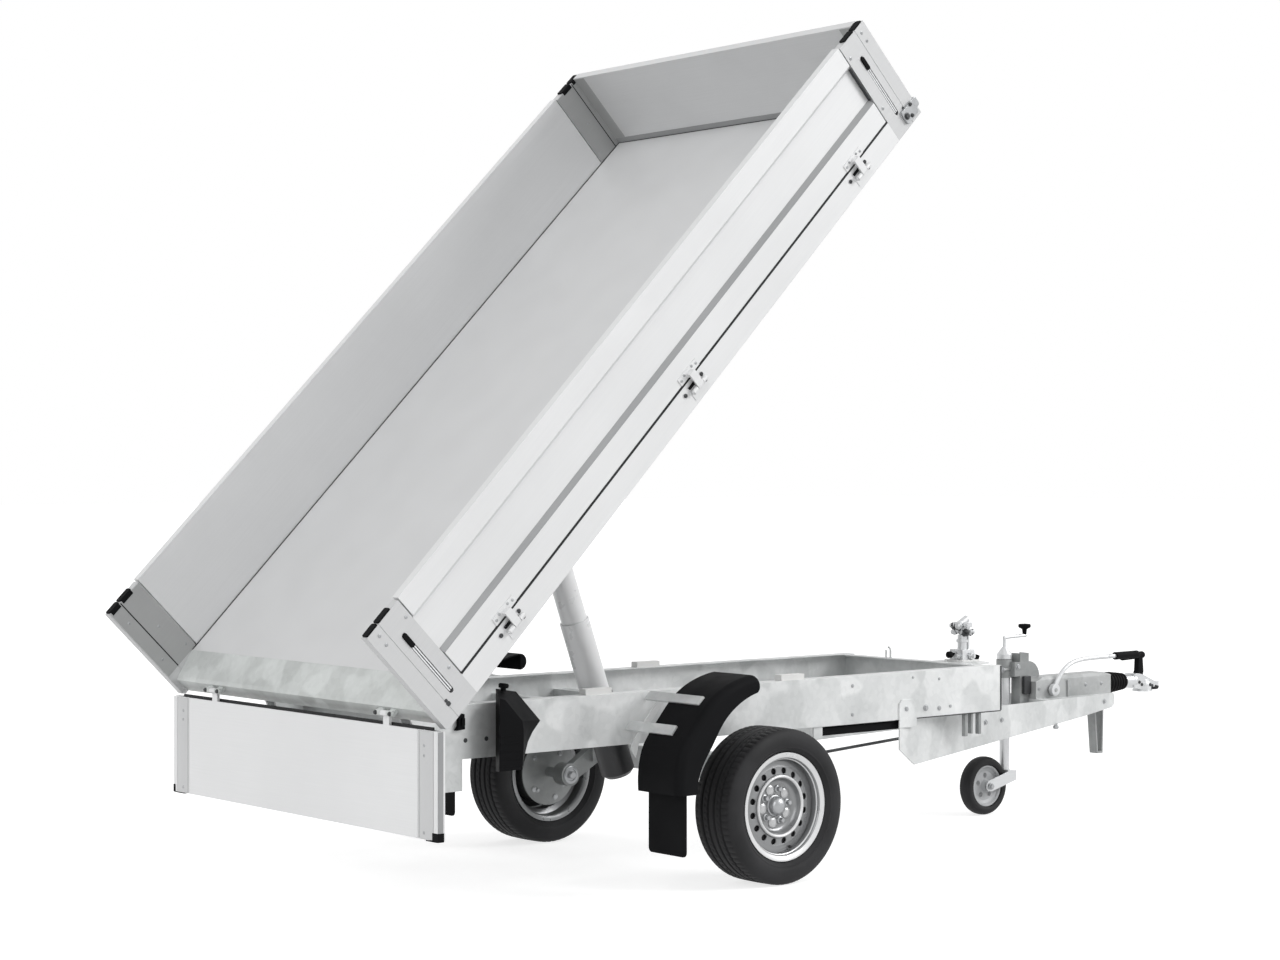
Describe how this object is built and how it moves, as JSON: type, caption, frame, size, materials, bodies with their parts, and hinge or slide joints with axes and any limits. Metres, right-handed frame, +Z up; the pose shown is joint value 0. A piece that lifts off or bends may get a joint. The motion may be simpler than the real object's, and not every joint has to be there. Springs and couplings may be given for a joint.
{
  "type": "tipping trailer",
  "caption": "Single-axle tipping trailer with a drop-sided load bed raised on a telescopic ram, a hinged tailgate, a V drawbar, an overrun coupling and a swivelling jockey wheel.",
  "frame": {"origin": "centre of the tow ball that the coupling takes, 0.47 m over the ground", "axes": "+X forward out of the coupling, +Y to the trailer's left, +Z up"},
  "size_m": [4.5715, 1.619, 2.9201],
  "materials": {
    "galvanised": "dull spangled zinc",
    "zinc": "satin zinc plate",
    "aluminium": "satin anodised",
    "wheel_paint": "light grey paint",
    "drum_iron": "rough",
    "ram_white": "satin white paint",
    "ram_dark": "satin black paint",
    "pump_metal": "satin grey paint",
    "black_plastic": "fine grain",
    "white_plastic": "smooth",
    "grey_plastic": "smooth",
    "black_rubber": "matt",
    "lamp_red": "clear gloss",
    "tyre": "matt moulded"
  },
  "bodies": {
    "chassis": {"chassis_beams": "galvanised", "cross_members": "galvanised", "drawbar": "galvanised", "foot_support": "galvanised", "overrun_housing": "zinc", "bellows": "black_rubber", "coupling_head": "zinc", "coupling_handle": "black_plastic", "jockey_bracket": "galvanised", "jockey_tube": "zinc", "pump": "pump_metal", "wheel_chock": "black_plastic", "rest_pads": "white_plastic", "brake_rod": "zinc", "axle_tube": "galvanised", "swing_arms": "galvanised", "mudguards": "black_plastic", "guard_brackets": "galvanised", "lamp_carrier": "galvanised", "tail_lamps": "lamp_red", "plate_holder": "black_plastic"},
    "wheel_left": {"drum_left": "drum_iron", "rim_left": "wheel_paint", "tyre_left": "tyre"},
    "wheel_right": {"drum_right": "drum_iron", "rim_right": "wheel_paint", "tyre_right": "tyre"},
    "jockey_stem": {"jockey_stem": "zinc"},
    "jockey_fork": {"jockey_fork": "zinc"},
    "jockey_wheel": {"jockey_rim": "grey_plastic", "jockey_tyre": "black_rubber"},
    "brake_lever": {"brake_lever": "zinc", "brake_grip": "black_plastic"},
    "bed": {"bed_floor": "galvanised", "bed_frame": "galvanised", "bed_rails": "aluminium", "rear_sill": "galvanised", "bed_posts": "aluminium", "front_wall": "aluminium"},
    "wall_left": {"wall_left": "aluminium"},
    "wall_right": {"wall_right": "aluminium"},
    "tailgate": {"tailgate": "aluminium"},
    "ram_barrel": {"ram_barrel": "ram_dark"},
    "ram_stage_1": {"ram_stage_1": "ram_white"},
    "ram_stage_2": {"ram_stage_2": "ram_white"},
    "ram_stage_3": {"ram_stage_3": "ram_white"}
  },
  "joints": [
    {"name": "wheel_left_spin", "type": "hinge", "parent": "chassis", "child": "wheel_left", "pos_m": [-2.755, 0.636, -0.2075], "axis": [0, 1, 0], "continuous": true},
    {"name": "wheel_right_spin", "type": "hinge", "parent": "chassis", "child": "wheel_right", "pos_m": [-2.755, -0.636, -0.2075], "axis": [0, 1, 0], "continuous": true},
    {"name": "jockey_height", "type": "slide", "parent": "chassis", "child": "jockey_stem", "axis": [0, 0, 1], "range_m": [0, 0.1]},
    {"name": "jockey_swivel", "type": "hinge", "parent": "jockey_stem", "child": "jockey_fork", "pos_m": [-0.822, 0.043, -0.27], "axis": [0, 0, 1], "continuous": true},
    {"name": "jockey_wheel_spin", "type": "hinge", "parent": "jockey_fork", "child": "jockey_wheel", "pos_m": [-0.95, 0.043, -0.353], "axis": [0, 1, 0], "continuous": true},
    {"name": "brake_lever_hinge", "type": "hinge", "parent": "chassis", "child": "brake_lever", "pos_m": [-0.637, -0.062, 0.022], "axis": [0, -1, 0], "range_deg": [0, 70]},
    {"name": "bed_tilt", "type": "hinge", "parent": "chassis", "child": "bed", "pos_m": [-4.061, 0, 0.198], "axis": [0, -1, 0], "range_deg": [-45, 0]},
    {"name": "tailgate_hinge", "type": "hinge", "parent": "bed", "child": "tailgate", "pos_m": [-4.22448, 0, 0.18287], "axis": [0, -1, 0], "range_deg": [-135, 0]},
    {"name": "wall_right_hinge", "type": "hinge", "parent": "bed", "child": "wall_right", "pos_m": [-3.21601, -0.801, 1.18724], "axis": [0.7071, 0, 0.7071], "range_deg": [0, 180]},
    {"name": "wall_left_hinge", "type": "hinge", "parent": "bed", "child": "wall_left", "pos_m": [-3.21601, 0.801, 1.18724], "axis": [-0.7071, 0, -0.7071], "range_deg": [0, 180]},
    {"name": "ram_trunnion", "type": "hinge", "parent": "chassis", "child": "ram_barrel", "pos_m": [-2.971, 0, 0.077], "axis": [0, -1, 0], "range_deg": [-16.09, 0]},
    {"name": "ram_slide_1", "type": "slide", "parent": "ram_barrel", "child": "ram_stage_1", "axis": [-0.3435, 0, 0.9392], "range_m": [-0.27439, 0]},
    {"name": "ram_slide_2", "type": "slide", "parent": "ram_stage_1", "child": "ram_stage_2", "axis": [-0.3435, 0, 0.9392], "range_m": [-0.27439, 0]},
    {"name": "ram_slide_3", "type": "slide", "parent": "ram_stage_2", "child": "ram_stage_3", "axis": [-0.3435, 0, 0.9392], "range_m": [-0.27439, 0]}
  ],
  "couplings": [
    {"joint": "ram_trunnion", "follows": "bed_tilt", "ratio": 0.35637},
    {"joint": "ram_slide_1", "follows": "bed_tilt", "m_per_rad": 0.34911},
    {"joint": "ram_slide_2", "follows": "bed_tilt", "m_per_rad": 0.34911},
    {"joint": "ram_slide_3", "follows": "bed_tilt", "m_per_rad": 0.34911}
  ]
}
